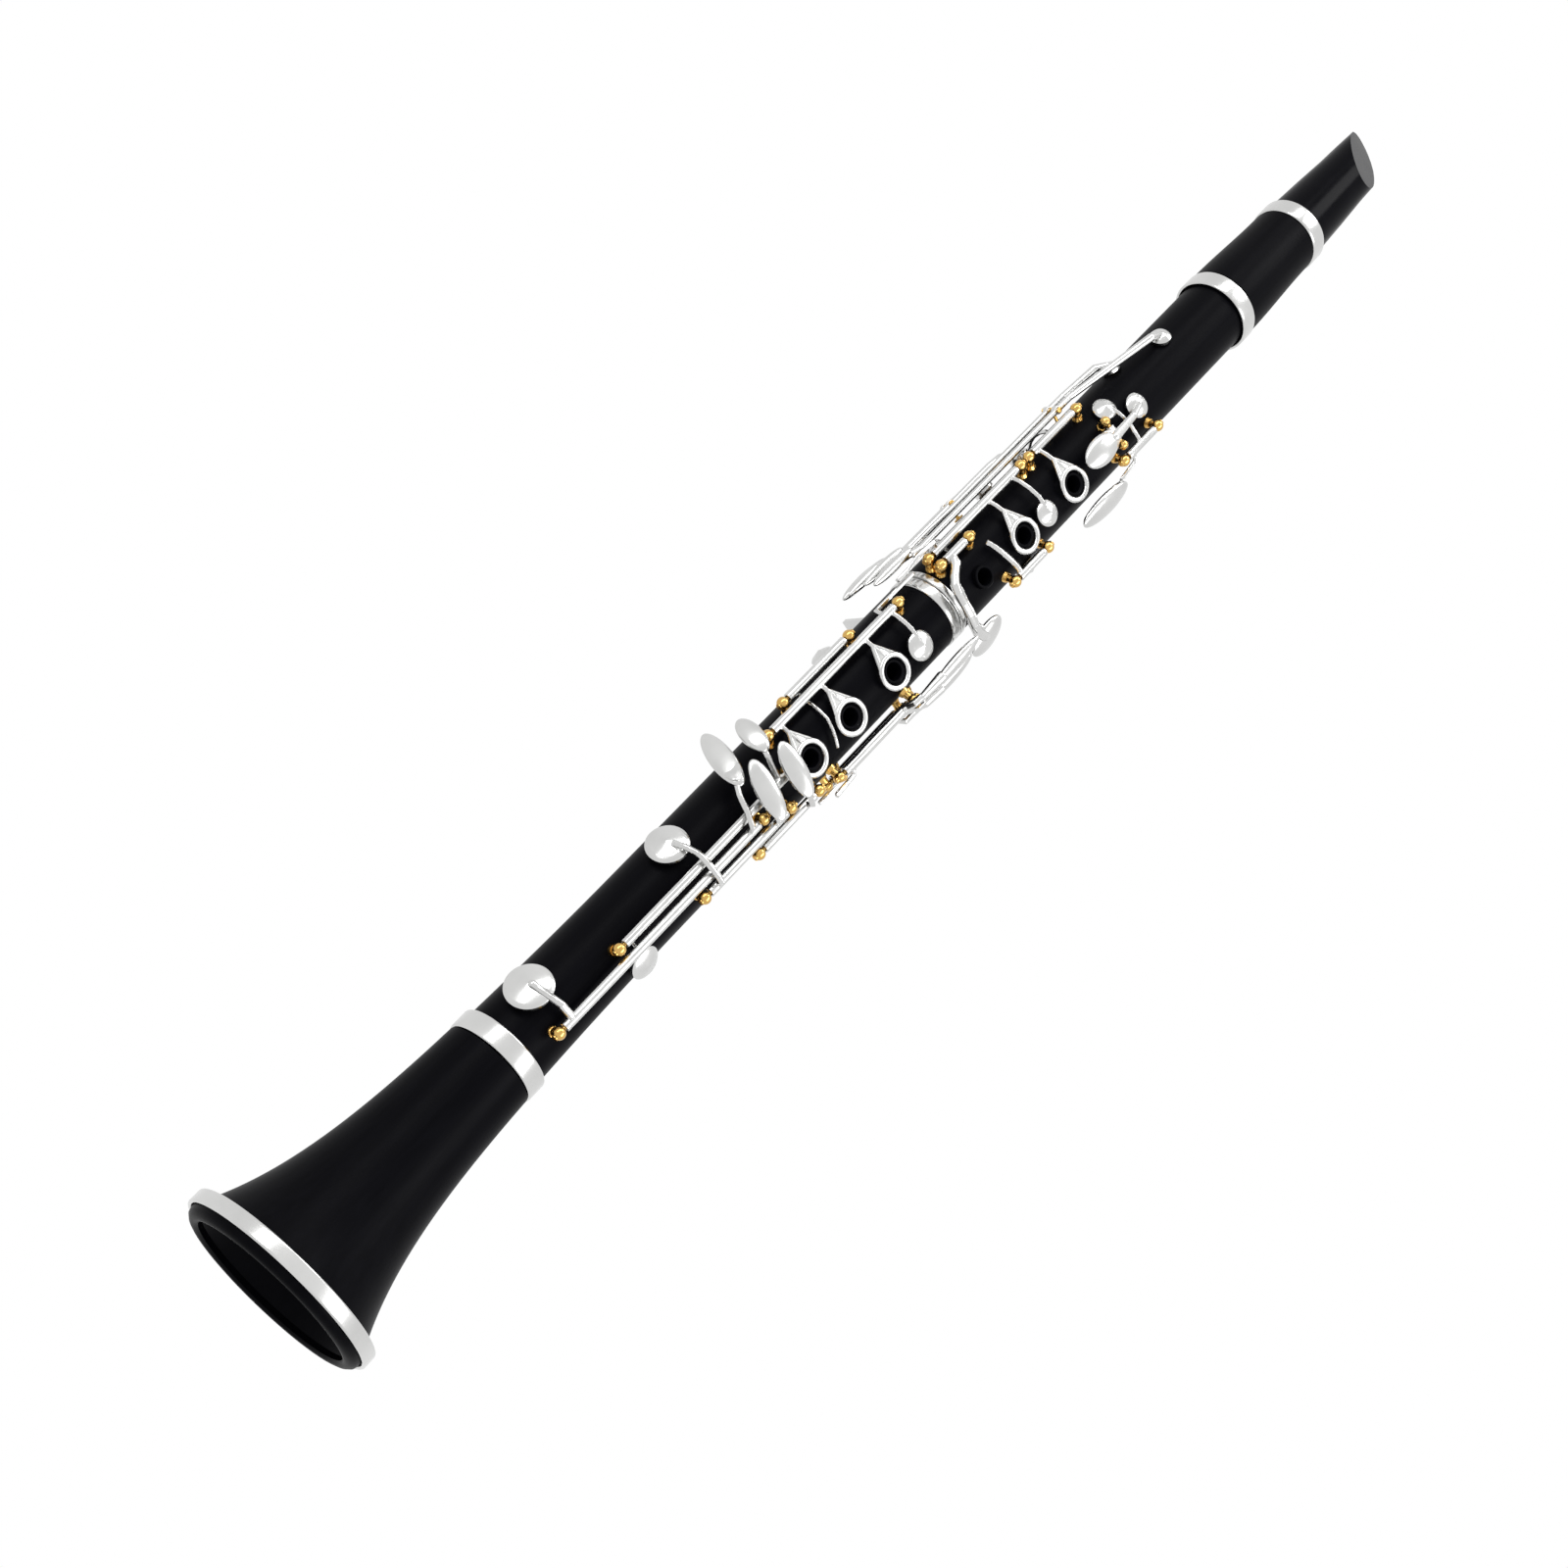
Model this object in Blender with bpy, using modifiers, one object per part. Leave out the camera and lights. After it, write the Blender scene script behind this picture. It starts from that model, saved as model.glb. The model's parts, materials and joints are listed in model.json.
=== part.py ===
# Clarinet with seventeen keys and six rings, lying on its back with the tone holes up.
# The instrument's own frame has x along the bore from the bell, z out of the tone holes.
# Angles run round the bore from the tone-hole line, positive towards -y.
import math

import bmesh
import bpy
from mathutils import Matrix, Vector

MM = 0.001

# Driving lengths along the bore, in metres
BELL_LENGTH = 110.5 * MM
LOWER_LENGTH = 237.0 * MM
UPPER_LENGTH = 195.5 * MM
BARREL_LENGTH = 65.0 * MM
MOUTHPIECE_LENGTH = 73.0 * MM
BEAK_LENGTH = 35.0 * MM

# Driving radii of the tubes
BORE_RADIUS = 7.4 * MM
JOINT_RADIUS = 15.0 * MM
LOWER_FOOT_RADIUS = 16.2 * MM
BARREL_FOOT_RADIUS = 16.4 * MM
BARREL_HEAD_RADIUS = 14.9 * MM
MOUTHPIECE_FOOT_RADIUS = 14.0 * MM
MOUTHPIECE_HEAD_RADIUS = 12.2 * MM
TIP_HALF_HEIGHT = 1.0 * MM
BELL_THROAT_RADIUS = 16.0 * MM
BELL_FLARE = 22.5 * MM
BELL_FLARE_LENGTH = 37.5 * MM
BELL_MOUTH_RADIUS = 31.0 * MM
BELL_WALL = 5.0 * MM
RIM_RADIUS = 38.2 * MM
RIM_WIDTH = 5.5 * MM
LIP_LENGTH = 3.2 * MM

# Tenons, corks and metal rings
TENON_RADIUS = 10.6 * MM
TENON_LENGTH = 17.0 * MM
CORK_THICKNESS = 1.3 * MM
CORK_MARGIN = 2.0 * MM
RING_WIDTH = 8.0 * MM
RING_PROUD = 0.5 * MM
RING_DEPTH = 1.6 * MM
UPPER_RING_WIDTH = 3.2 * MM
FIT = 0.3 * MM

# Keywork stock
ROD_RADIUS = 0.95 * MM
TUBE_RADIUS = 1.8 * MM
TUBE_BORE = 1.3 * MM
POST_BALL = 2.3 * MM
POST_STEM = 1.5 * MM
ARM_RADIUS = 1.2 * MM
UNDER_ARM = 0.8 * MM
HINGE_RADIUS = 19.8 * MM
UNDER_RADIUS = 16.4 * MM
OVER_RADIUS = 23.4 * MM
RING_KEY_RADIUS = 17.3 * MM
RING_KEY_SECTION = 1.0 * MM
PAD_SEAT = 0.5 * MM
CUP_HEIGHT = 3.0 * MM
VENT_LIFT = 1.4 * MM
PAD_LIFT = 1.1 * MM
TOUCH_THICKNESS = 2.0 * MM
HOLE_RADIUS = 3.4 * MM
HOLE_DEPTH = 9.0 * MM
THUMB_REST_HEIGHT = 15.5 * MM
THUMB_REST_WIDTH = 17.0 * MM
THUMB_REST_LENGTH = 24.0 * MM
THUMB_REST_PLATE = 2.2 * MM

LOWER_START = BELL_LENGTH
UPPER_START = LOWER_START + LOWER_LENGTH
BARREL_START = UPPER_START + UPPER_LENGTH
MOUTH_START = BARREL_START + BARREL_LENGTH
TIP = MOUTH_START + MOUTHPIECE_LENGTH
SOCKET_RADIUS = TENON_RADIUS + CORK_THICKNESS + FIT
SOCKET_LENGTH = TENON_LENGTH + FIT
STEPS = 24


def low(offset):
    # a place on the lower joint, in millimetres above its foot
    return LOWER_START + offset * MM


def below(offset):
    # a place on the lower joint, in millimetres below its head
    return UPPER_START - offset * MM


def up(offset):
    # a place on the upper joint, in millimetres above its foot
    return UPPER_START + offset * MM


for old in list(bpy.data.objects):
    bpy.data.objects.remove(old, do_unlink=True)
parts = bpy.data.collections.new("clarinet")
guides = bpy.data.collections.new("clarinet_cutters")
bpy.context.scene.collection.children.link(parts)
bpy.context.scene.collection.children.link(guides)


# The rest pose: the bell rim and the thumb rest both touch the surface under the clarinet.
THUMB_REST_PLACE = UPPER_START - 14.0 * MM
THUMB_REST_REACH = JOINT_RADIUS + FIT + THUMB_REST_HEIGHT
RIM_PLACE = LIP_LENGTH + RIM_WIDTH
PITCH = math.atan2(RIM_RADIUS - THUMB_REST_REACH, THUMB_REST_PLACE - RIM_PLACE)
root = bpy.data.objects.new("instrument_axis", None)
root.rotation_euler = (0, PITCH, 0)
root.location = (
    -0.5 * TIP * math.cos(PITCH),
    0,
    RIM_RADIUS * math.cos(PITCH) + RIM_PLACE * math.sin(PITCH),
)
parts.objects.link(root)


def polar(along, angle, radius):
    turn = math.radians(angle)
    return Vector((along, -radius * math.sin(turn), radius * math.cos(turn)))


def outward(angle):
    return polar(0, angle, 1)


def finish(color, roughness, metallic):
    def make(name):
        material = bpy.data.materials.new(name)
        material.use_nodes = True
        shader = material.node_tree.nodes["Principled BSDF"]
        shader.inputs["Base Color"].default_value = (*color, 1)
        shader.inputs["Roughness"].default_value = roughness
        shader.inputs["Metallic"].default_value = metallic
        return material

    return make


BLACK = finish((0.012, 0.012, 0.014), 0.38, 0)
EBONITE = finish((0.01, 0.01, 0.011), 0.25, 0)
SILVER = finish((0.86, 0.86, 0.87), 0.16, 1)
GOLD = finish((0.86, 0.6, 0.26), 0.22, 1)
CORK = finish((0.55, 0.38, 0.22), 0.9, 0)


def place(mesh, name, origin=Vector(), group=parts):
    mesh.transform(Matrix.Translation(-origin))
    thing = bpy.data.objects.new(name, mesh)
    thing.location = origin
    thing.parent = root
    group.objects.link(thing)
    return thing


def guide(mesh):
    thing = place(mesh, "shape", group=guides)
    thing.hide_render = True
    thing.display_type = "WIRE"
    return thing


def combine(thing, meshes, operation):
    for mesh in meshes:
        step = thing.modifiers.new(operation.lower(), "BOOLEAN")
        step.operation = operation
        step.object = guide(mesh)
    return thing


def solid(name, look, meshes, cuts=(), origin=Vector()):
    thing = place(meshes[0], name, origin)
    thing.data.materials.append(look(name + "_finish"))
    combine(thing, meshes[1:], "UNION")
    combine(thing, cuts, "DIFFERENCE")
    thing.data.shade_smooth()
    thing.data.set_sharp_from_angle(angle=math.radians(35))
    return thing


def evaluated(thing):
    mesh = bpy.data.meshes.new_from_object(thing.evaluated_get(bpy.context.evaluated_depsgraph_get()))
    bpy.data.objects.remove(thing, do_unlink=True)
    shape = bmesh.new()
    shape.from_mesh(mesh)
    bmesh.ops.remove_doubles(shape, verts=shape.verts, dist=0.00001)
    bmesh.ops.recalc_face_normals(shape, faces=shape.faces)
    shape.to_mesh(mesh)
    shape.free()
    return mesh


def turned(profile, closed, steps=STEPS, frame=Matrix()):
    # profile: (radius, height) pairs that run down the outer side, turned about z, then placed by frame
    mesh = bpy.data.meshes.new("profile")
    count = len(profile)
    edges = [(i, i + 1) for i in range(count - 1)]
    if closed:
        edges.append((count - 1, 0))
    mesh.from_pydata([(r, 0, z) for r, z in profile], edges, [])
    thing = bpy.data.objects.new("profile", mesh)
    bpy.context.scene.collection.objects.link(thing)
    screw = thing.modifiers.new("turn", "SCREW")
    screw.steps = steps
    screw.render_steps = steps
    screw.use_merge_vertices = True
    screw.merge_threshold = 0.00001
    shape = evaluated(thing)
    shape.transform(frame)
    return shape


ALONG_BORE = Matrix.Rotation(math.radians(90), 4, "Y")


def sleeve(outer, inner, steps=STEPS):
    # outer and inner: (along, radius) pairs from the bell end up; the inner wall is walked back down
    profile = [(r, x) for x, r in reversed(outer)] + [(r, x) for x, r in inner]
    return turned(profile, True, steps, ALONG_BORE)


def toward(point, direction):
    return Matrix.Translation(point) @ direction.to_track_quat("Z", "Y").to_matrix().to_4x4()


def rod(start, end, radius, sides=8):
    half = 0.5 * (end - start)
    profile = [(0, half.length), (radius, half.length), (radius, -half.length), (0, -half.length)]
    return turned(profile, False, sides, toward(start + half, half))


def arm(points, radius=ARM_RADIUS):
    curve = bpy.data.curves.new("arm", "CURVE")
    curve.dimensions = "3D"
    curve.bevel_depth = radius
    curve.bevel_resolution = 0
    curve.use_fill_caps = True
    spline = curve.splines.new("POLY")
    spline.points.add(len(points) - 1)
    for point, target in zip(spline.points, points):
        point.co = (*target, 1)
    thing = bpy.data.objects.new("arm", curve)
    bpy.context.scene.collection.objects.link(thing)
    return evaluated(thing)


def swept_arm(path, radius=ARM_RADIUS, spacing=14.0):
    # path: (along, angle, radius) corners joined round the bore in steps of at most spacing degrees
    points = [polar(*path[0])]
    for first, last in zip(path, path[1:]):
        count = max(1, math.ceil(abs(last[1] - first[1]) / spacing))
        for i in range(1, count + 1):
            share = i / count
            points.append(polar(*[a + (b - a) * share for a, b in zip(first, last)]))
    return arm(points, radius)


def cup(along, angle, radius, surface=JOINT_RADIUS, lift=0.0):
    seat = surface + PAD_SEAT + lift
    profile = [
        (0, CUP_HEIGHT),
        (0.8 * radius, 0.8 * CUP_HEIGHT),
        (radius, 0.4 * CUP_HEIGHT),
        (radius, 0),
        (0, 0),
    ]
    sag = radius * radius / (2 * surface)
    return turned(profile, False, 12, toward(polar(along, angle, seat + 0.12 * sag), outward(angle)))


def touch(along, angle, radius, length, width, heading=0.0, thickness=TOUCH_THICKNESS):
    # a domed oval finger plate; heading turns its long side from the bore direction, in degrees
    profile = [(0, 0.5), (0.75, 0.3), (1, -0.1), (0.88, -0.5), (0, -0.5)]
    up = outward(angle)
    ahead = Vector((1, 0, 0))
    side = up.cross(ahead)
    turn = math.radians(heading)
    axis = ahead * math.cos(turn) + side * math.sin(turn)
    frame = Matrix((axis, up.cross(axis), up)).transposed().to_4x4()
    stretch = Matrix.Diagonal((0.5 * length, 0.5 * width, thickness, 1))
    return turned(profile, False, 12, Matrix.Translation(polar(along, angle, radius)) @ frame @ stretch)


def finger_ring(along, angle, hole=5.2 * MM):
    section = [
        (hole + RING_KEY_SECTION * (1 + math.cos(math.tau * i / 5)),
            RING_KEY_SECTION * math.sin(-math.tau * i / 5))
        for i in range(5)
    ]
    return turned(section, True, 14, toward(polar(along, angle, RING_KEY_RADIUS), outward(angle)))


def ring_arm(along, angle, hinge_angle, hole=5.2 * MM):
    # from the hinge tube down the side and into the near edge of a finger ring
    side = math.copysign(1, angle - hinge_angle)
    reach = math.degrees(hole / RING_KEY_RADIUS)
    edge = math.degrees(math.atan2(hole + RING_KEY_SECTION, RING_KEY_RADIUS))
    start = (along, hinge_angle, HINGE_RADIUS)
    mid = (along, angle - side * (edge + reach), RING_KEY_RADIUS + 1.1 * MM)
    return swept_arm([start, mid, (along, angle - side * edge, RING_KEY_RADIUS + 1.0 * MM)])


def post(point, angle, surface=JOINT_RADIUS):
    height = outward(angle).dot(point - Vector((point.x, 0, 0)))
    drop = height - surface - FIT
    ball = [(0, POST_BALL)]
    for latitude in (45, 0, -45):
        tilt = math.radians(latitude)
        ball.append((POST_BALL * math.cos(tilt), POST_BALL * math.sin(tilt)))
    profile = ball + [(POST_STEM, 0.6 * MM - drop), (POST_BALL, -drop), (0, -drop)]
    return turned(profile, False, 6, toward(point, outward(angle)))


class AxialHinge:
    # posts at both ends with a steel rod between, and a key tube on it, parallel to the bore
    def __init__(self, low, high, angle, radius=HINGE_RADIUS, low_surface=JOINT_RADIUS):
        self.low = polar(low, angle, radius)
        self.high = polar(high, angle, radius)
        self.angle = angle
        self.radius = radius
        self.surfaces = (low_surface, JOINT_RADIUS)
        self.middle = 0.5 * (self.low + self.high)
        self.tube_low = low + POST_BALL + FIT
        self.tube_high = high - POST_BALL - FIT

    def posts(self, name):
        ends = [post(p, self.angle, s) for p, s in zip((self.low, self.high), self.surfaces)]
        solid(name, GOLD, [ends[0], ends[1], rod(self.low, self.high, ROD_RADIUS)])

    def key(self, name, meshes):
        start = polar(self.tube_low, self.angle, self.radius)
        end = polar(self.tube_high, self.angle, self.radius)
        past = Vector((POST_BALL, 0, 0))
        tube = rod(start, end, TUBE_RADIUS)
        bore = rod(start - past, end + past, TUBE_BORE)
        return solid(name, SILVER, [tube, *meshes], [bore], self.middle)


class CrossHinge:
    # a short pin across the instrument between two posts, with a rocking lever on it
    def __init__(self, along, first_angle, last_angle, radius=HINGE_RADIUS):
        self.angles = (first_angle, last_angle)
        self.ends = [polar(along, a, radius) for a in self.angles]
        self.middle = 0.5 * (self.ends[0] + self.ends[1])
        self.way = (self.ends[1] - self.ends[0]).normalized()

    def posts(self, name):
        ends = [post(p, a) for p, a in zip(self.ends, self.angles)]
        solid(name, GOLD, [ends[0], ends[1], rod(*self.ends, ROD_RADIUS)])

    def key(self, name, meshes):
        inset = self.way * (POST_BALL + FIT)
        tube = rod(self.ends[0] + inset, self.ends[1] - inset, TUBE_RADIUS)
        bore = rod(*self.ends, TUBE_BORE)
        return solid(name, SILVER, [tube, *meshes], [bore], self.middle)


# Bell with its flare, mouth and socket
def flare(along):
    return BELL_THROAT_RADIUS + BELL_FLARE * math.exp(-along / BELL_FLARE_LENGTH)


BELL_RING_START = BELL_LENGTH - RING_WIDTH
RIM_SEAT = RIM_RADIUS - RING_DEPTH
flare_stations = [RIM_PLACE + FIT + (BELL_RING_START - 2 * FIT - RIM_PLACE) * (i / 9) ** 1.3 for i in range(10)]
bell_outer = [(0, BELL_MOUTH_RADIUS + 2.6 * MM), (LIP_LENGTH, RIM_SEAT - FIT),
    (RIM_PLACE, RIM_SEAT - FIT)]
bell_outer += [(x, flare(x)) for x in flare_stations]
bell_socket_seat = flare(BELL_RING_START) - RING_DEPTH + RING_PROUD
bell_outer += [(BELL_RING_START - FIT, bell_socket_seat - FIT), (BELL_LENGTH, bell_socket_seat - FIT)]
bell_floor = BELL_LENGTH - SOCKET_LENGTH
bell_inner = [(0, BELL_MOUTH_RADIUS)]
bell_inner += [(bell_floor * i / 7, flare(bell_floor * i / 7) - BELL_WALL) for i in range(1, 7)]
bell_inner += [(bell_floor, BORE_RADIUS + 3.2 * MM), (bell_floor, SOCKET_RADIUS),
    (BELL_LENGTH, SOCKET_RADIUS)]
solid("bell", BLACK, [sleeve(bell_outer, bell_inner)])


def band(name, start, width, outer, inner):
    soft = 0.4 * MM
    outline = [(start, outer - soft), (start + soft, outer), (start + width - soft, outer),
        (start + width, outer - soft)]
    solid(name, SILVER, [sleeve(outline, [(start, inner), (start + width, inner)])])


band("bell_rim_ring", LIP_LENGTH, RIM_WIDTH, RIM_RADIUS, RIM_SEAT)
band("bell_socket_ring", BELL_RING_START, RING_WIDTH, flare(BELL_RING_START) + RING_PROUD,
    bell_socket_seat)


# Lower joint with its foot flare, both ends for the neighbours, tone holes bored from the front
def lower_radius(along):
    return JOINT_RADIUS + (LOWER_FOOT_RADIUS - JOINT_RADIUS) * max(0,
        1 - (along - LOWER_START) / 70 / MM) ** 2


def tone_hole(along, angle, radius=HOLE_RADIUS):
    return rod(polar(along, angle, JOINT_RADIUS - HOLE_DEPTH), polar(along,
        angle, JOINT_RADIUS + HOLE_DEPTH), radius, 16)


MIDDLE_RING_START = UPPER_START - RING_WIDTH + UPPER_RING_WIDTH
middle_seat = JOINT_RADIUS - RING_DEPTH + RING_PROUD
lower_outer = [(LOWER_START - TENON_LENGTH, TENON_RADIUS), (LOWER_START + FIT, TENON_RADIUS)]
lower_outer += [(LOWER_START + FIT + 14 * MM * i,
    lower_radius(LOWER_START + 14 * MM * i)) for i in range(6)]
lower_outer += [(MIDDLE_RING_START - FIT, JOINT_RADIUS), (MIDDLE_RING_START - FIT, middle_seat - FIT)]
lower_outer += [(UPPER_START, middle_seat - FIT)]
lower_inner = [(LOWER_START - TENON_LENGTH, BORE_RADIUS + 1.6 * MM), (LOWER_START + 40 * MM, BORE_RADIUS)]
lower_inner += [(UPPER_START - SOCKET_LENGTH, BORE_RADIUS), (UPPER_START - SOCKET_LENGTH, SOCKET_RADIUS)]
lower_inner += [(UPPER_START, SOCKET_RADIUS)]
RING_HOLES = (below(38.5), below(64.5), below(87.5))
FRONT = 0
lower_cuts = [tone_hole(x, FRONT) for x in RING_HOLES]
solid("lower_joint", BLACK, [sleeve(lower_outer, lower_inner)], lower_cuts)
band("middle_ring", MIDDLE_RING_START, UPPER_START - MIDDLE_RING_START,
    JOINT_RADIUS + RING_PROUD, middle_seat)

# Upper joint, tenons at both ends, ring round its foot
upper_seat = JOINT_RADIUS - RING_DEPTH + RING_PROUD
upper_outer = [(UPPER_START - TENON_LENGTH, TENON_RADIUS), (UPPER_START + FIT, TENON_RADIUS)]
upper_outer += [(UPPER_START + FIT, upper_seat - FIT),
    (UPPER_START + UPPER_RING_WIDTH + FIT, upper_seat - FIT)]
upper_outer += [(UPPER_START + UPPER_RING_WIDTH + 2 * FIT, JOINT_RADIUS),
    (BARREL_START - FIT, JOINT_RADIUS)]
upper_outer += [(BARREL_START - FIT, TENON_RADIUS), (BARREL_START + TENON_LENGTH, TENON_RADIUS)]
upper_inner = [(UPPER_START - TENON_LENGTH, BORE_RADIUS), (BARREL_START + TENON_LENGTH, BORE_RADIUS)]
UPPER_HOLES = (up(76.5), up(43.5), up(18))
THUMB_HOLE = up(82.5)
BACK = 180
upper_cuts = [tone_hole(x, FRONT) for x in UPPER_HOLES] + [tone_hole(THUMB_HOLE, BACK)]
solid("upper_joint", BLACK, [sleeve(upper_outer, upper_inner)], upper_cuts)
band("upper_joint_ring", UPPER_START + FIT, UPPER_RING_WIDTH, JOINT_RADIUS + RING_PROUD, upper_seat)

# Barrel, waisted, with a ring on each socket
barrel_foot = BARREL_START + RING_WIDTH
barrel_head = MOUTH_START - RING_WIDTH
foot_seat = BARREL_FOOT_RADIUS + RING_PROUD - RING_DEPTH
head_seat = BARREL_HEAD_RADIUS + RING_PROUD - RING_DEPTH
barrel_outer = [(BARREL_START, foot_seat - FIT), (barrel_foot + FIT, foot_seat - FIT)]
waist = barrel_head - barrel_foot - 2 * FIT
for i in range(9):
    blend = 0.5 + 0.5 * math.cos(math.pi * i / 8)
    radius = BARREL_HEAD_RADIUS + (BARREL_FOOT_RADIUS - BARREL_HEAD_RADIUS) * blend
    barrel_outer.append((barrel_foot + 2 * FIT + (waist - 2 * FIT) * i / 8, radius))
barrel_outer += [(barrel_head - FIT, head_seat - FIT), (MOUTH_START, head_seat - FIT)]
barrel_inner = [(BARREL_START, SOCKET_RADIUS), (BARREL_START + SOCKET_LENGTH, SOCKET_RADIUS)]
barrel_inner += [(BARREL_START + SOCKET_LENGTH, BORE_RADIUS), (MOUTH_START - SOCKET_LENGTH, BORE_RADIUS)]
barrel_inner += [(MOUTH_START - SOCKET_LENGTH, SOCKET_RADIUS), (MOUTH_START, SOCKET_RADIUS)]
solid("barrel", BLACK, [sleeve(barrel_outer, barrel_inner)])
band("barrel_bottom_ring", BARREL_START, RING_WIDTH, BARREL_FOOT_RADIUS + RING_PROUD, foot_seat)
band("barrel_top_ring", barrel_head, RING_WIDTH, BARREL_HEAD_RADIUS + RING_PROUD, head_seat)


# Mouthpiece: turned body, beak cut on the front, flat table and window on the back
def block(low, high, tilt=0.0, pivot=Vector()):
    shape = bmesh.new()
    bmesh.ops.create_cube(shape, size=1)
    mesh = bpy.data.meshes.new("block")
    shape.to_mesh(mesh)
    shape.free()
    size = Vector(high) - Vector(low)
    mesh.transform(Matrix.Translation(0.5 * (Vector(high) + Vector(low))) @ Matrix.Diagonal((*size, 1)))
    turn = Matrix.Rotation(math.radians(tilt), 4, "Y")
    mesh.transform(Matrix.Translation(pivot) @ turn @ Matrix.Translation(-pivot))
    return mesh


TABLE_DEPTH = 1.6 * MM
TABLE_LENGTH = 62.0 * MM
WINDOW_LENGTH = 33.0 * MM
WINDOW_HALF_WIDTH = 5.4 * MM
table_height = MOUTHPIECE_HEAD_RADIUS - TABLE_DEPTH
mouth_outer = [(MOUTH_START - TENON_LENGTH, TENON_RADIUS), (MOUTH_START + FIT, TENON_RADIUS)]
mouth_outer += [(MOUTH_START + FIT, MOUTHPIECE_FOOT_RADIUS),
    (MOUTH_START + 20 * MM, MOUTHPIECE_FOOT_RADIUS - 0.8 * MM)]
mouth_outer += [(TIP - BEAK_LENGTH, MOUTHPIECE_HEAD_RADIUS),
    (TIP - 8 * MM, MOUTHPIECE_HEAD_RADIUS - 1.0 * MM)]
mouth_outer += [(TIP - 2 * MM, MOUTHPIECE_HEAD_RADIUS - 2.6 * MM),
    (TIP, MOUTHPIECE_HEAD_RADIUS - 4.4 * MM)]
mouth_inner = [(MOUTH_START - TENON_LENGTH, BORE_RADIUS),
    (TIP - WINDOW_LENGTH - 6 * MM, BORE_RADIUS - 0.6 * MM)]
mouth_profile = [(0, TIP)] + [(r, x) for x, r in reversed(mouth_outer)] + [(r, x) for x, r in mouth_inner]
mouth_profile.append((0, mouth_inner[-1][0]))
beak_start = Vector((TIP - BEAK_LENGTH, 0, MOUTHPIECE_HEAD_RADIUS))
beak_drop = MOUTHPIECE_HEAD_RADIUS + table_height - TIP_HALF_HEIGHT
beak_tilt = math.degrees(math.atan2(beak_drop, BEAK_LENGTH))
wide = 2 * MOUTHPIECE_FOOT_RADIUS
beak_cut = block(beak_start - Vector((0, wide, 0)), beak_start + Vector((3 * BEAK_LENGTH,
    wide, wide)), beak_tilt, beak_start)
table_cut = block((TIP - TABLE_LENGTH, -wide, -wide), (TIP + BEAK_LENGTH, wide, -table_height))
window_back = TIP - WINDOW_LENGTH
window_cut = block(
    (window_back, -WINDOW_HALF_WIDTH, -wide),
    (TIP - 2.5 * MM, WINDOW_HALF_WIDTH, -table_height),
    beak_tilt * 0.75,
    Vector((TIP - 2.5 * MM, 0, -table_height)),
)
throat_cut = rod(Vector((window_back - 16 * MM, 0, 0)), Vector((window_back + 8 * MM, 0, -3 * MM)),
    BORE_RADIUS - 2.4 * MM, 16)
solid("mouthpiece", EBONITE, [turned(mouth_profile, False, STEPS,
    ALONG_BORE)], [beak_cut, table_cut, window_cut, throat_cut])


# Tenon corks
def cork(name, start):
    low = start + CORK_MARGIN
    high = start + TENON_LENGTH - CORK_MARGIN
    outer = TENON_RADIUS + CORK_THICKNESS
    solid(name, CORK, [sleeve([(low, outer), (high, outer)], [(low, TENON_RADIUS + 0.1 * MM),
        (high, TENON_RADIUS + 0.1 * MM)])])


cork("lower_joint_cork", LOWER_START - TENON_LENGTH)
cork("upper_joint_foot_cork", UPPER_START - TENON_LENGTH)
cork("upper_joint_head_cork", BARREL_START)
cork("mouthpiece_cork", MOUTH_START - TENON_LENGTH)

# Thumb rest: a saddle plate on the back with a hook that the right thumb carries
rest_top = -(JOINT_RADIUS + FIT)
hook_low = (THUMB_REST_PLACE - THUMB_REST_PLATE, -0.5 * THUMB_REST_WIDTH, rest_top - THUMB_REST_HEIGHT)
hook_high = (THUMB_REST_PLACE, 0.5 * THUMB_REST_WIDTH, rest_top + 1.0 * MM)
plate_low = (THUMB_REST_PLACE - THUMB_REST_LENGTH, -0.35 * THUMB_REST_WIDTH, rest_top - THUMB_REST_PLATE)
plate_high = (THUMB_REST_PLACE - 0.5 * THUMB_REST_PLATE, 0.35 * THUMB_REST_WIDTH, rest_top + 1.0 * MM)
rest_ends = [Vector((THUMB_REST_PLACE + s * THUMB_REST_LENGTH, 0, 0)) for s in (-1.5, 1)]
rest_cut = rod(*rest_ends, JOINT_RADIUS + FIT, 48)
solid("thumb_rest", SILVER, [block(plate_low, plate_high), block(hook_low, hook_high)], [rest_cut])


# Left-hand rings on the upper joint
RING_ROD = -64
bridge_hinge = AxialHinge(up(6.5), up(65.5), RING_ROD)
bridge_hinge.posts("bridge_ring_posts")
bridge_tail = [(up(12), RING_ROD, HINGE_RADIUS), (up(11.5), -65, 24.3 * MM), (up(2.5), -66, 24.3 * MM)]
bridge_tail += [(up(-3.5), -67, 22.5 * MM), (up(-10.5), -67, 22.5 * MM)]
bridge_hinge.key("bridge_ring_key", [
    ring_arm(UPPER_HOLES[1], FRONT, RING_ROD),
    finger_ring(UPPER_HOLES[1], FRONT),
    swept_arm([(up(58.5), RING_ROD, HINGE_RADIUS), (up(58.5), -22, 19.2 * MM),
        (up(57.5), -6, 19.2 * MM)]),
    cup(up(57.5), FRONT, 5.0 * MM, lift=VENT_LIFT),
    swept_arm(bridge_tail),
])
thumb_hinge = AxialHinge(up(71), up(103), RING_ROD)
thumb_hinge.posts("thumb_ring_posts")
thumb_arm = [(up(90.5), RING_ROD, HINGE_RADIUS), (up(90.5), -72, 17.2 * MM), (up(90.5), -140, 17.2 * MM)]
thumb_arm.append((up(83.5), -160.5, 18.2 * MM))
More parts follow.
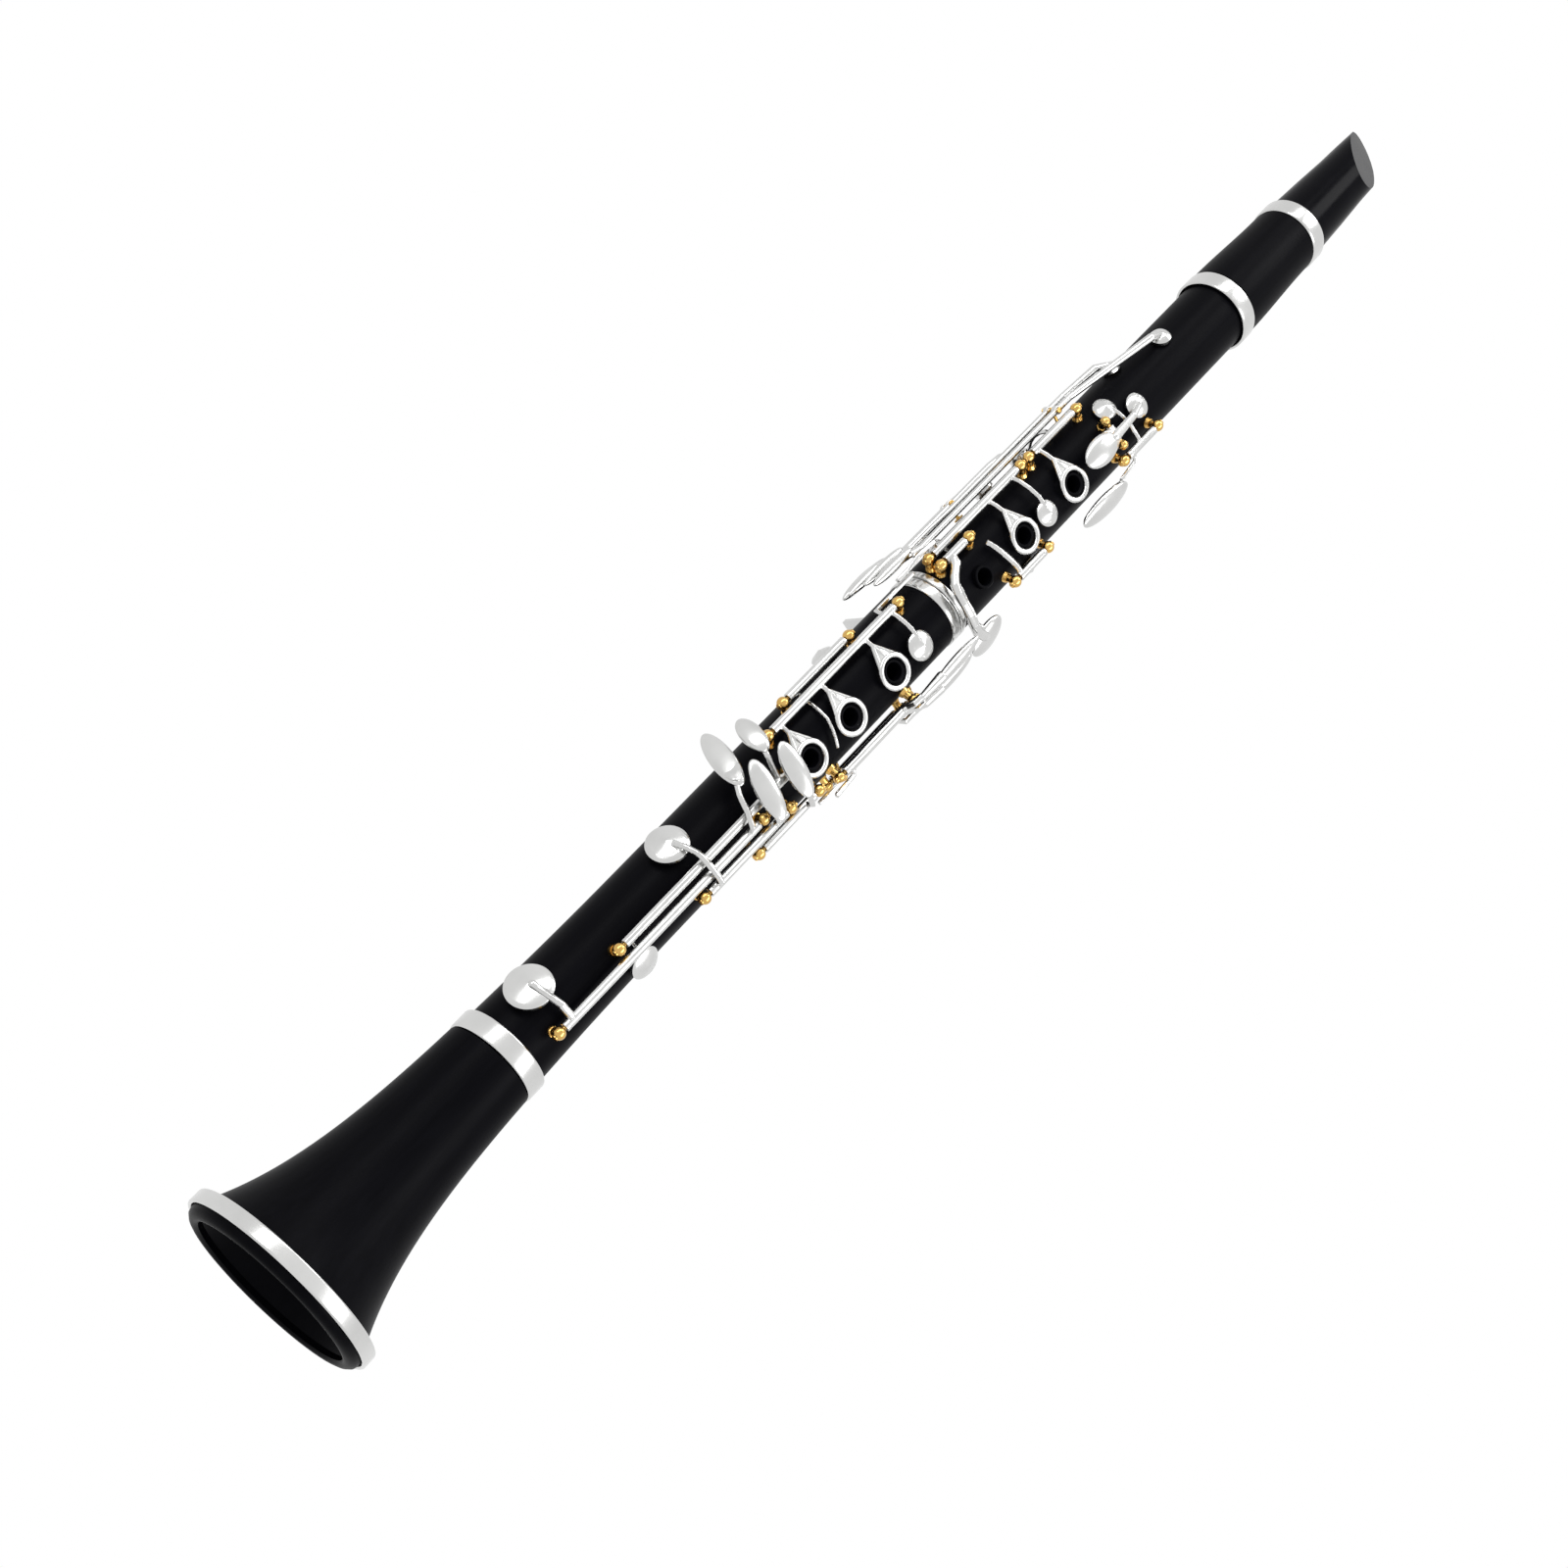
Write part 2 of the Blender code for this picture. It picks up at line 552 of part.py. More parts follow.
thumb_hinge.key("thumb_ring_key", [
    ring_arm(UPPER_HOLES[0], FRONT, RING_ROD),
    finger_ring(UPPER_HOLES[0], FRONT),
    swept_arm(thumb_arm, 1.0 * MM),
    finger_ring(THUMB_HOLE, -BACK),
])

# Throat A key rocking on a cross pin, and the throat G sharp key beside it
throat_hinge = CrossHinge(up(105), -27, 7)
throat_hinge.posts("throat_a_posts")
throat_hinge.key("throat_a_key", [
    swept_arm([(up(98.5), -10, 20.6 * MM), (up(105.5), -10, 20.2 * MM), (up(115.5), -11, 21.8 * MM),
        (up(124), -12, 18.0 * MM)]),
    touch(up(95.5), -8, 20.8 * MM, 22 * MM, 10.5 * MM),
    cup(up(124), -12, 5.0 * MM),
])
sharp_hinge = AxialHinge(up(103), up(126.5), 25)
sharp_hinge.posts("throat_g_sharp_posts")
sharp_hinge.key("throat_g_sharp_key", [
    swept_arm([(up(115), 25, HINGE_RADIUS), (up(115), 12, 18.3 * MM),
        (up(113.5), -34, 18.0 * MM)], 1.1 * MM),
    cup(up(112), -40, 4.8 * MM),
    swept_arm([(up(109.5), 25, HINGE_RADIUS), (up(108.5), 36, 21.0 * MM), (up(98.5), 42, 21.4 * MM)]),
    touch(up(86.5), 47, 21.6 * MM, 29 * MM, 9.0 * MM, -4),
])

# Upper sliver key between the second and third fingers, and the C sharp key over the front
sliver_hinge = AxialHinge(up(29), up(50.5), 33)
sliver_hinge.posts("upper_sliver_posts")
sliver_hinge.key("upper_sliver_key", [
    swept_arm([(up(33.5), 33, HINGE_RADIUS), (up(33), 22, 18.6 * MM), (up(31), 0, 17.7 * MM),
        (up(28.5), -30, 17.4 * MM)], 1.4 * MM),
    swept_arm([(up(43.5), 33, HINGE_RADIUS), (up(43.5), 46, 18.0 * MM), (up(43.5), 60, 17.6 * MM)]),
    cup(up(43.5), 60, 4.6 * MM),
])
sharp_c_hinge = AxialHinge(up(6.5), up(24), -47)
sharp_c_hinge.posts("c_sharp_posts")
sharp_c_path = [(up(13.5), -47, HINGE_RADIUS), (up(11.5), -35, 20.2 * MM), (up(4.5), -22, 20.2 * MM)]
sharp_c_path += [(up(2.5), 0, 20.2 * MM), (up(2.5), 30, 20.8 * MM), (up(7.5), 56, 22.6 * MM)]
sharp_c_hinge.key("c_sharp_key", [
    swept_arm(sharp_c_path, 1.5 * MM),
    touch(up(9), 61, 22.8 * MM, 14 * MM, 10 * MM, 20),
    swept_arm([(up(16.5), -47, HINGE_RADIUS), (up(16.5), -52, UNDER_RADIUS),
        (up(16.5), -78, UNDER_RADIUS)], UNDER_ARM),
    cup(up(16.5), -88, 4.4 * MM),
])


# Right-hand side keys and trill keys: pairs of rocking levers on one pin through a saddle post
LEVER_HEIGHT = 22.0 * MM
LEVER_RADIUS = 1.15 * MM
PAIR_PITCH = 12.0
SADDLE_STEM = 0.75 * MM
SADDLE_FOOT = 0.8 * MM


class Saddle:
    def __init__(self, along, angle):
        self.point = polar(along, angle, LEVER_HEIGHT)
        self.angle = angle
        self.way = Vector((1, 0, 0)).cross(outward(angle))
        self.spread = LEVER_HEIGHT * math.radians(0.5 * PAIR_PITCH)
        self.boss = 2 * (self.spread - SADDLE_STEM - FIT)

    def end(self, distance):
        return self.point + self.way * distance

    def posts(self, name):
        half = self.spread + 0.5 * self.boss + FIT
        foot = polar(self.point.x, self.angle, JOINT_RADIUS + FIT)
        sole = polar(self.point.x, self.angle, JOINT_RADIUS + FIT + SADDLE_FOOT)
        stem = rod(0.5 * (foot + sole), self.point + outward(self.angle) * 1.4 * MM, SADDLE_STEM)
        heads = [rod(self.end(s * half), self.end(s * (half + 0.7 * MM)), 1.35 * MM) for s in (-1, 1)]
        pin = rod(self.end(-half - 0.2 * MM), self.end(half + 0.2 * MM), 0.7 * MM)
        base = rod(foot, sole, 2.2 * MM)
        solid(name, GOLD, [stem, pin, *heads, base])

    def key(self, name, side, meshes):
        centre = self.end(side * self.spread)
        reach = self.way * 0.5 * self.boss
        boss = rod(centre - reach, centre + reach, TUBE_RADIUS)
        bore = rod(centre - 2 * reach, centre + 2 * reach, 0.95 * MM)
        return solid(name, SILVER, [boss, *meshes], [bore], centre)


def side_lever(angle, touch_place, bend, pad_place, pad_angle):
    path = [(touch_place, angle, LEVER_HEIGHT + 2.8 * MM),
        (touch_place + 16 * MM, angle, LEVER_HEIGHT), (bend, angle, LEVER_HEIGHT)]
    path += [(pad_place - 7 * MM, pad_angle, LEVER_HEIGHT - 0.8 * MM), (pad_place, pad_angle, 18.0 * MM)]
    return [
        swept_arm(path, LEVER_RADIUS),
        touch(touch_place, angle, LEVER_HEIGHT + 3.0 * MM, 21 * MM, 4.3 * MM),
        cup(pad_place, pad_angle, 4.3 * MM),
    ]


side_saddle = Saddle(up(37.5), -108)
side_saddle.posts("side_key_saddle")
side_saddle.key("side_key_low", -1, side_lever(-114, up(-11.5), up(40.5), up(56.5), -117))
side_saddle.key("side_key_high", 1, side_lever(-102, up(-11.5), up(62.5), up(76.5), -103))
trill_saddle = Saddle(up(97.5), -84)
trill_saddle.posts("trill_key_saddle")
trill_saddle.key("trill_key_low", -1, side_lever(-90, up(-6.5), up(107.5), up(134.5), -86))
trill_saddle.key("trill_key_high", 1, side_lever(-78, up(-6.5), up(106.5), up(158.5), -56))

# Register key on the back, rocking on a cross pin above the thumb hole, over its vent tube
register_hinge = CrossHinge(up(120.5), BACK - 17, BACK + 17)
register_hinge.posts("register_posts")
register_hinge.key("register_key", [
    swept_arm([(up(99.5), BACK, 20.4 * MM), (up(120.5), BACK, 19.8 * MM),
        (up(142.5), BACK, 20.4 * MM), (up(158.5), BACK, 18.2 * MM)]),
    touch(up(99.5), BACK, 20.6 * MM, 15 * MM, 8 * MM),
    cup(up(158.5), BACK, 4.6 * MM),
])

# Right-hand rings on the lower joint, with the vent cup and the bridge to the upper joint
LOWER_RING_ROD = -53
ring_hinge = AxialHinge(below(94), below(17.5), LOWER_RING_ROD)
ring_hinge.posts("lower_ring_posts")
ring_parts = []
for place_along in RING_HOLES:
    ring_parts.append(ring_arm(place_along, FRONT, LOWER_RING_ROD))
    ring_parts.append(finger_ring(place_along, FRONT))
ring_parts.append(swept_arm([(below(22.5), LOWER_RING_ROD, HINGE_RADIUS),
    (below(22.5), -22, 19.2 * MM), (below(23.5), -6, 19.2 * MM)]))
ring_parts.append(cup(below(23.5), FRONT, 5.6 * MM, lift=VENT_LIFT))
ring_parts.append(swept_arm([(below(25.5), LOWER_RING_ROD, HINGE_RADIUS),
    (below(24.5), -68, 19.0 * MM), (below(1.5), -68, 19.2 * MM)]))
ring_hinge.key("lower_ring_key", ring_parts)

# Lower sliver key: its blade passes under the ring rod and over the front
banana_hinge = AxialHinge(below(79), below(40.5), -68, 20.2 * MM)
banana_hinge.posts("lower_sliver_posts")
banana_hinge.key("lower_sliver_key", [
    swept_arm([(below(71.5), -68, 20.2 * MM), (below(71.5), -60, UNDER_RADIUS),
        (below(71.5), -46, UNDER_RADIUS), (below(72.5), -20, 17.5 * MM), (below(76),
        16, 17.5 * MM)], 0.9 * MM),
    swept_arm([(below(48.5), -68, 20.2 * MM), (below(48.5), -88, 18.2 * MM),
        (below(48.5), -97, 17.8 * MM)]),
    cup(below(48.5), -98, 4.8 * MM),
])

# Right-hand little-finger keys on four rods side by side
e_hinge = AxialHinge(low(11), below(118.5), 5, low_surface=lower_radius(low(11)))
e_hinge.posts("e_b_posts")
e_hinge.key("e_b_key", [
    swept_arm([(low(18), 5, HINGE_RADIUS), (low(17.5), -14, 21.2 * MM),
        (low(16), -46, 21.2 * MM)], 1.4 * MM),
    cup(low(15.5), -50, 8.6 * MM, lower_radius(low(15.5)), PAD_LIFT),
    swept_arm([(below(126.5), 5, HINGE_RADIUS), (below(125.5), -2, OVER_RADIUS),
        (below(121.5), -28, 24.0 * MM), (below(115.5), -48, 24.6 * MM)], 1.4 * MM),
    touch(below(114), -62, 24.6 * MM, 25 * MM, 9.0 * MM, 70),
])
f_hinge = AxialHinge(below(154), below(106.5), 20)
f_hinge.posts("f_c_posts")
f_hinge.key("f_c_key", [
    swept_arm([(below(147), 20, HINGE_RADIUS), (below(147), 13, OVER_RADIUS),
        (below(147.5), -20, OVER_RADIUS), (below(149.5), -46, 20.3 * MM)], 1.4 * MM),
    cup(below(150), -52, 7.8 * MM, lift=PAD_LIFT),
    swept_arm([(below(115.5), 20, HINGE_RADIUS), (below(115.5), 13, OVER_RADIUS),
        (below(114.5), -2, 23.8 * MM)], 1.4 * MM),
    touch(below(113), -16, 24.0 * MM, 22 * MM, 8.6 * MM, 74),
])
a_hinge = AxialHinge(low(46), below(98), -10)
a_hinge.posts("a_flat_posts")
a_hinge.key("a_flat_key", [
    swept_arm([(low(52.5), -10, HINGE_RADIUS), (low(52.5), -5, UNDER_RADIUS),
        (low(52.5), 14, UNDER_RADIUS), (low(52.5), 24, 17.2 * MM)], UNDER_ARM),
    cup(low(52.5), 32, 6.2 * MM),
    swept_arm([(below(104.5), -10, HINGE_RADIUS), (below(103.5), -24, 20.8 * MM),
        (below(100.5), -46, 23.8 * MM)], 1.4 * MM),
    touch(below(99.5), -58, 24.4 * MM, 15 * MM, 8.0 * MM, 76),
])
fs_hinge = AxialHinge(below(126), below(92), 35)
fs_hinge.posts("f_sharp_posts")
fs_hinge.key("f_sharp_key", [
    swept_arm([(below(118.5), 35, HINGE_RADIUS), (below(118.5), 48, 18.2 * MM),
        (below(118.5), 58, 17.8 * MM)]),
    cup(below(118.5), 58, 5.4 * MM),
    swept_arm([(below(99.5), 35, HINGE_RADIUS), (below(99.5), 29, OVER_RADIUS),
        (below(99.5), 4, 24.0 * MM)], 1.4 * MM),
    touch(below(99.5), -11, 24.2 * MM, 21 * MM, 8.4 * MM, 78),
])


# Left-hand little-finger levers along the side, one inside the other
def left_lever(name, angle, low, high, touch_length):
    touch_angle = angle - 13
    touch_height = 23.4 * MM
    hinge = AxialHinge(low, high, angle)
    hinge.posts(name + "_posts")
    end = high - 6 * MM
    nose = high + touch_length
    hinge.key(name, [
        swept_arm([(end, angle, HINGE_RADIUS), (end + 2 * MM, touch_angle, touch_height),
            (nose, touch_angle, touch_height)], 1.4 * MM),
        touch(nose - 3 * MM, touch_angle, touch_height + 0.4 * MM, 22 * MM, 6.4 * MM),
        swept_arm([(low + 7 * MM, angle, HINGE_RADIUS), (low + 5 * MM, angle + 5, 22.8 * MM),
            (low - 6 * MM, angle + 6, OVER_RADIUS)], 1.1 * MM),
    ])


left_lever("left_f_sharp_lever", 52, below(79.5), below(35.5), 26 * MM)
left_lever("left_e_lever", 70, below(75.5), below(31.5), 20 * MM)
left_lever("left_f_lever", 88, below(79.5), below(35.5), 26 * MM)
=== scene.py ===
import json
import math

import bpy
from mathutils import Matrix, Vector

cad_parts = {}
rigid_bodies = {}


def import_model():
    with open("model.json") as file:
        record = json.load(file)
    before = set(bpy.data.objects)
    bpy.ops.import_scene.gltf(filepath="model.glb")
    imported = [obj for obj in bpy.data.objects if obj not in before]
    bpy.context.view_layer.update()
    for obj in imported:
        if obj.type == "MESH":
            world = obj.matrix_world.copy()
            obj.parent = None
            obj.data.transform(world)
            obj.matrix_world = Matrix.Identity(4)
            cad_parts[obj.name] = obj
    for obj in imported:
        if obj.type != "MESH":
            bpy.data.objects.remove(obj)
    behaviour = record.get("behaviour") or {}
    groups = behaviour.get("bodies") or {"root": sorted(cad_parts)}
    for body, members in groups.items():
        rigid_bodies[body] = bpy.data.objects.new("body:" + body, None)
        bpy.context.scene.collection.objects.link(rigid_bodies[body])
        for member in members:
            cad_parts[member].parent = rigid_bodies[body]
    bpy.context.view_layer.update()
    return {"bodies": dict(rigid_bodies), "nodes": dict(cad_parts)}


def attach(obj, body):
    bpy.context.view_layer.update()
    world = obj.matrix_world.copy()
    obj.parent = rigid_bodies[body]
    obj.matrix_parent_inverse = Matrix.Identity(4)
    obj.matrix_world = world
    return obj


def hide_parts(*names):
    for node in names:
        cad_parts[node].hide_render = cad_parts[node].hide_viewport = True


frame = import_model()

# Bell: black turned body with a wide flare and a rounded lip round the mouth.
# One closed profile is extruded ring by ring about the bore, then laid at the rest pitch.
MM = 0.001
PITCH = 0.0227793
ROOT = Vector((-0.34041, 0, 0.03839))
REST = Matrix.Translation(ROOT) @ Matrix.Rotation(PITCH, 4, "Y")


class Value:
    """A shader socket that takes part in sums."""

    def __init__(self, tree, socket):
        self.tree = tree
        self.socket = socket

    def node(self, kind, inputs=None, out=0, **settings):
        made = self.tree.nodes.new(kind)
        for key, value in settings.items():
            setattr(made, key, value)
        for key, value in (inputs or {}).items():
            if isinstance(value, Value):
                self.tree.links.new(value.socket, made.inputs[key])
            else:
                made.inputs[key].default_value = value
        return Value(self.tree, made.outputs[out])

    def sum(self, operation, first, second):
        return self.node("ShaderNodeMath", {0: first, 1: second}, operation=operation)

    def __add__(self, other):
        return self.sum("ADD", self, other)

    def __radd__(self, other):
        return self.sum("ADD", other, self)

    def __mul__(self, other):
        return self.sum("MULTIPLY", self, other)

    def noise(self, scale, stretch=(1, 1, 1), detail=4):
        placed = self.node("ShaderNodeMapping", {"Vector": self, "Scale": stretch})
        return self.node("ShaderNodeTexNoise", {"Vector": placed, "Scale": scale, "Detail": detail})

    def between(self, low, high):
        return self.node("ShaderNodeMix", {0: self, 6: (*low, 1), 7: (*high, 1)}, 2, data_type="RGBA")

    def bump(self, strength, distance):
        return self.node("ShaderNodeBump", {"Height": self, "Strength": strength, "Distance": distance})


def surface(name):
    material = bpy.data.materials.new(name)
    material.use_nodes = True
    tree = material.node_tree
    place = tree.nodes.new("ShaderNodeTexCoord")
    return material, tree.nodes["Principled BSDF"], Value(tree, place.outputs["Object"])


def feed(shader, **values):
    for key, value in values.items():
        socket = shader.inputs[key.replace("_", " ")]
        if isinstance(value, Value):
            value.tree.links.new(value.socket, socket)
        else:
            socket.default_value = value


def black_wood():
    material, shader, place = surface("black_body")
    grain = place.noise(420, (0.06, 1, 1), 8)
    pores = place.noise(1900, (0.12, 1, 1), 3)
    wear = place.noise(28, (1, 1, 1), 5)
    bump = (grain * 0.6 + pores * 0.4).bump(0.06, 0.0004)
    feed(shader, Base_Color=grain.between((0.0008, 0.0008, 0.0013), (0.003, 0.003, 0.0042)), Normal=bump)
    feed(shader, Roughness=0.3 + wear * 0.12 + pores * 0.06, Specular_IOR_Level=0.025)
    return material


def settle(piece, turn=None):
    if turn is not None:
        piece.data.transform(turn)
    piece.data.transform(REST)
    piece.data.update()


def turned(name, stations, sides=120, turn=None, bevel=0.0):
    bpy.ops.object.select_all(action="DESELECT")
    x, r = stations[0]
    upright = (0, math.pi / 2, 0)
    bpy.ops.mesh.primitive_circle_add(vertices=sides, radius=r * MM, rotation=upright, location=(x * MM, 0, 0))
    piece = bpy.context.object
    piece.name = name
    bpy.ops.object.transform_apply(location=True, rotation=True, scale=True)
    bpy.ops.object.mode_set(mode="EDIT")
    bpy.ops.mesh.select_all(action="SELECT")
    for (x0, r0), (x1, r1) in zip(stations, stations[1:] + stations[:1]):
        bpy.ops.mesh.extrude_region_move(TRANSFORM_OT_translate={"value": ((x1 - x0) * MM, 0, 0)})
        grow = r1 / r0
        bpy.ops.transform.resize(value=(1, grow, grow), center_override=(x1 * MM, 0, 0))
    bpy.ops.mesh.select_all(action="SELECT")
    bpy.ops.mesh.remove_doubles(threshold=1e-6)
    bpy.ops.mesh.normals_make_consistent(inside=False)
    bpy.ops.object.mode_set(mode="OBJECT")
    if bevel:
        soft = piece.modifiers.new("soft", "BEVEL")
        soft.width = bevel * MM
        soft.segments = 5
        soft.limit_method = "ANGLE"
        bpy.ops.object.modifier_apply(modifier=soft.name)
    settle(piece, turn)
    bpy.ops.object.shade_smooth_by_angle(angle=math.radians(40))
    return piece


def give(piece, material, body, slot, *nodes):
    piece.data.materials.clear()
    piece.data.materials.append(material)
    if nodes:
        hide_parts(*nodes)
    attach(piece, body)


BLACK = black_wood()


def flare(x):
    return 16.0 + 22.5 * math.exp(-x / 37.5)


outer = [(0.0, 33.2), (0.5, 34.6), (1.6, 35.9), (3.0, 36.3), (8.9, 36.3)]
outer += [(9.0 + 93.1 * (i / 40) ** 1.2, flare(9.0 + 93.1 * (i / 40) ** 1.2)) for i in range(41)]
outer += [(102.2, 15.1), (110.5, 15.1), (110.5, 12.2), (93.2, 12.2), (93.2, 10.6)]
inner = [(93.2 * i / 30, flare(93.2 * i / 30) - 5.0) for i in range(29, 0, -1)]
bell = turned("bell_body", outer + inner + [(1.0, 31.2), (0.2, 32.0)], 160)
give(bell, BLACK, "body", "body_black", "bell")


# Silver bands: the bell rim, the sockets and the barrel ends.
# Turned rings with softened edges, bright plate with fine turning lines round them and painted grey shade
# mottled into its colour.
def silver():
    material, shader, place = surface("silver_plate")
    lines = place.noise(2600, (1, 0.05, 0.05), 2)
    tone_noise = place.noise(60, (1, 1, 1), 5)
    rubs = place.noise(900, (0.1, 1, 1), 6)
    bump = (lines * 0.5 + rubs * 0.5).bump(0.015, 0.0002)
    # Painted shade: the base colour is mottled between mid and light greys, so the darker patches stand in for
    # grey shading and dark reflections on the plate; the same noise also varies the roughness.
    feed(shader, Base_Color=tone_noise.between((0.52, 0.52, 0.515), (0.72, 0.72, 0.71)), Metallic=1.0)
    feed(shader, Roughness=0.14 + tone_noise * 0.1 + rubs * 0.05, Normal=bump)
    return material


SILVER = silver()
BANDS = (
    ("bell_rim_band", 3.2, 8.7, 38.2, 36.6, "body", "bell_rim_ring"),
    ("bell_socket_band", 102.5, 110.5, 17.95, 15.4, "body", "bell_socket_ring"),
    ("middle_band", 342.7, 347.5, 15.5, 13.9, "body", "middle_ring"),
    ("upper_joint_band", 347.8, 351.0, 15.5, 13.9, "body", "upper_joint_ring"),
    ("barrel_bottom_band", 543.0, 551.0, 16.9, 15.3, "barrel_group", "barrel_bottom_ring"),
    ("barrel_top_band", 600.0, 608.0, 15.4, 13.8, "barrel_group", "barrel_top_ring"),
)
for name, low, high, out, seat, body, node in BANDS:
    soft = 1.5 if node == "bell_rim_ring" else 0.9
    band = turned(name, [(low, seat), (low, out), (high, out), (high, seat)], 160, None, soft)
    give(band, SILVER, body, "key_silver", node)


# Lower and upper joints: black turned tubes with the finger holes bored through the wall.
# Each hole is cut with a round cutter, and a raised black chimney stands round it.
LOWER_HOLES = (260.0, 283.0, 309.0)
UPPER_HOLES = (365.5, 391.0, 424.0)
THUMB_HOLE = 430.0
HOLE_RADIUS = 3.4


def bored(piece, holes, back=()):
    for along, side in [(hole, 1) for hole in holes] + [(hole, -1) for hole in back]:
        bpy.ops.object.select_all(action="DESELECT")
        middle = (along * MM, 0, side * 16 * MM)
        bpy.ops.mesh.primitive_cylinder_add(vertices=48, radius=HOLE_RADIUS * MM, depth=20 * MM, location=middle)
        cutter = bpy.context.object
        bpy.ops.object.transform_apply(location=True, rotation=True, scale=True)
        settle(cutter)
        bpy.ops.object.select_all(action="DESELECT")
        piece.select_set(True)
        bpy.context.view_layer.objects.active = piece
        cut = piece.modifiers.new("hole", "BOOLEAN")
        cut.object = cutter
        cut.solver = "EXACT"
        bpy.ops.object.modifier_apply(modifier=cut.name)
        bpy.data.objects.remove(cutter, do_unlink=True)
    bpy.ops.object.shade_smooth_by_angle(angle=math.radians(40))


def chimney(name, along, side):
    ring = [(14.0, HOLE_RADIUS), (16.9, HOLE_RADIUS), (17.1, 3.6), (17.1, 4.2), (16.8, 4.5), (14.0, 4.6)]
    turn = Matrix.Translation((along * MM, 0, 0)) @ Matrix.Rotation(-side * math.pi / 2, 4, "Y")
    give(turned(name, ring, 64, turn), BLACK, "body", "body_black")


lower = [(93.5, 10.6), (110.8, 10.6)]
lower += [(110.8 + 3.5 * i, 15.0 + 1.2 * max(0, 1 - 0.05 * i) ** 2) for i in range(21)]
lower += [(342.4, 15.0), (342.4, 13.6), (347.5, 13.6), (347.5, 12.2), (330.2, 12.2), (330.2, 7.4)]
lower += [(150.5, 7.4), (93.5, 9.0)]
lower_joint = turned("lower_joint_body", lower)
bored(lower_joint, LOWER_HOLES[::-1])
give(lower_joint, BLACK, "body", "body_black", "lower_joint")
upper = [(330.5, 10.6), (347.8, 10.6), (347.8, 13.6), (351.0, 13.6), (351.3, 15.0), (542.7, 15.0)]
upper += [(542.7, 10.6), (560.0, 10.6), (560.0, 7.4), (330.5, 7.4)]
upper_joint = turned("upper_joint_body", upper)
bored(upper_joint, UPPER_HOLES[::-1], (THUMB_HOLE,))
give(upper_joint, BLACK, "body", "body_black", "upper_joint")
for number, along in enumerate(LOWER_HOLES + UPPER_HOLES):
    chimney("finger_chimney_%d" % number, along, 1)
chimney("thumb_chimney", THUMB_HOLE, -1)


# Barrel: short waisted tube of the same black, its sockets under the two bands.
# A smooth cosine waist turned between the bands.
waist = [(543.0, 15.0), (551.3, 15.0)]
waist += [(551.6 + 47.8 * i / 24, 14.9 + 1.5 * (0.5 + 0.5 * math.cos(math.pi * i / 24))) for i in range(25)]
waist += [(599.7, 13.5), (608.0, 13.5), (608.0, 12.2), (590.7, 12.2), (590.7, 7.4)]
waist += [(560.3, 7.4), (560.3, 12.2), (543.0, 12.2)]
give(turned("barrel_body", waist), BLACK, "barrel_group", "body_black", "barrel")


# Mouthpiece: polished black, turned shank with the beak, table and window cut in it.
# One closed turned profile, then three block cuts for the beak slope, the flat table and the window.
def polished_black():
    material, shader, place = surface("mouthpiece_gloss")
    tone_noise = place.noise(90, (1, 1, 1), 5)
    rubs = place.noise(1500, (0.08, 1, 1), 4)
    bump = rubs.bump(0.02, 0.0002)
    feed(shader, Base_Color=tone_noise.between((0.0012, 0.0012, 0.0018), (0.0032, 0.0032, 0.0045)), Normal=bump)
    feed(shader, Roughness=0.16 + tone_noise * 0.08 + rubs * 0.04, Specular_IOR_Level=0.025)
    return material


GLOSS = polished_black()


def sliced(piece, low, high, tilt=0.0, pivot=(0, 0, 0)):
    bpy.ops.object.select_all(action="DESELECT")
    bpy.ops.mesh.primitive_cube_add(size=1)
    block = bpy.context.object
    size = (Vector(high) - Vector(low)) * MM
    middle = (Vector(high) + Vector(low)) * 0.5 * MM
    block.data.transform(Matrix.Translation(middle) @ Matrix.Diagonal((*size, 1)))
    about = Matrix.Translation(Vector(pivot) * MM)
    block.data.transform(about @ Matrix.Rotation(math.radians(tilt), 4, "Y") @ about.inverted())
    settle(block)
    bpy.ops.object.select_all(action="DESELECT")
    piece.select_set(True)
    bpy.context.view_layer.objects.active = piece
    cut = piece.modifiers.new("slice", "BOOLEAN")
    cut.object = block
    cut.operation = "DIFFERENCE"
    cut.solver = "EXACT"
    bpy.ops.object.modifier_apply(modifier=cut.name)
    bpy.data.objects.remove(block, do_unlink=True)


shank = [(591.0, 10.6), (608.3, 10.6), (608.3, 13.7), (608.7, 14.0), (628.0, 13.2), (646.0, 12.2)]
shank += [(660.0, 11.8), (673.0, 11.2), (677.0, 10.3), (679.5, 9.2), (680.9, 7.8), (680.9, 0.05)]
shank += [(642.0, 0.05), (642.0, 6.8), (591.0, 7.4)]
mouthpiece = turned("mouthpiece_body", shank, 128)
sliced(mouthpiece, (646, -28, 12.2), (751, 28, 40.2), 31.9, (646, 0, 12.2))
sliced(mouthpiece, (619, -28, -28), (716, 28, -10.6))
sliced(mouthpiece, (648, -5.4, -28), (678.5, 5.4, -10.6), 23.9, (678.5, 0, -10.6))
bpy.ops.object.shade_smooth_by_angle(angle=math.radians(30))
give(mouthpiece, GLOSS, "barrel_group", "mouthpiece_black", "mouthpiece")


# Tenon corks: thin sleeves hidden in the sockets, kept as the CAD solids.
# Pale cork with dark flecks and an open grain.
def cork():
    material, shader, place = surface("tenon_cork")
    flecks = place.noise(800, (1, 1, 1), 6)
    bump = flecks.bump(0.3, 0.0004)
    feed(shader, Base_Color=flecks.between((0.3, 0.17, 0.08), (0.68, 0.47, 0.28)), Normal=bump)
    feed(shader, Roughness=0.75 + flecks * 0.2)
    return material


CORK = cork()
for node in ("lower_joint_cork", "upper_joint_foot_cork", "upper_joint_head_cork", "mouthpiece_cork"):
    frame["nodes"][node].data.materials.clear()
    frame["nodes"][node].data.materials.append(CORK)


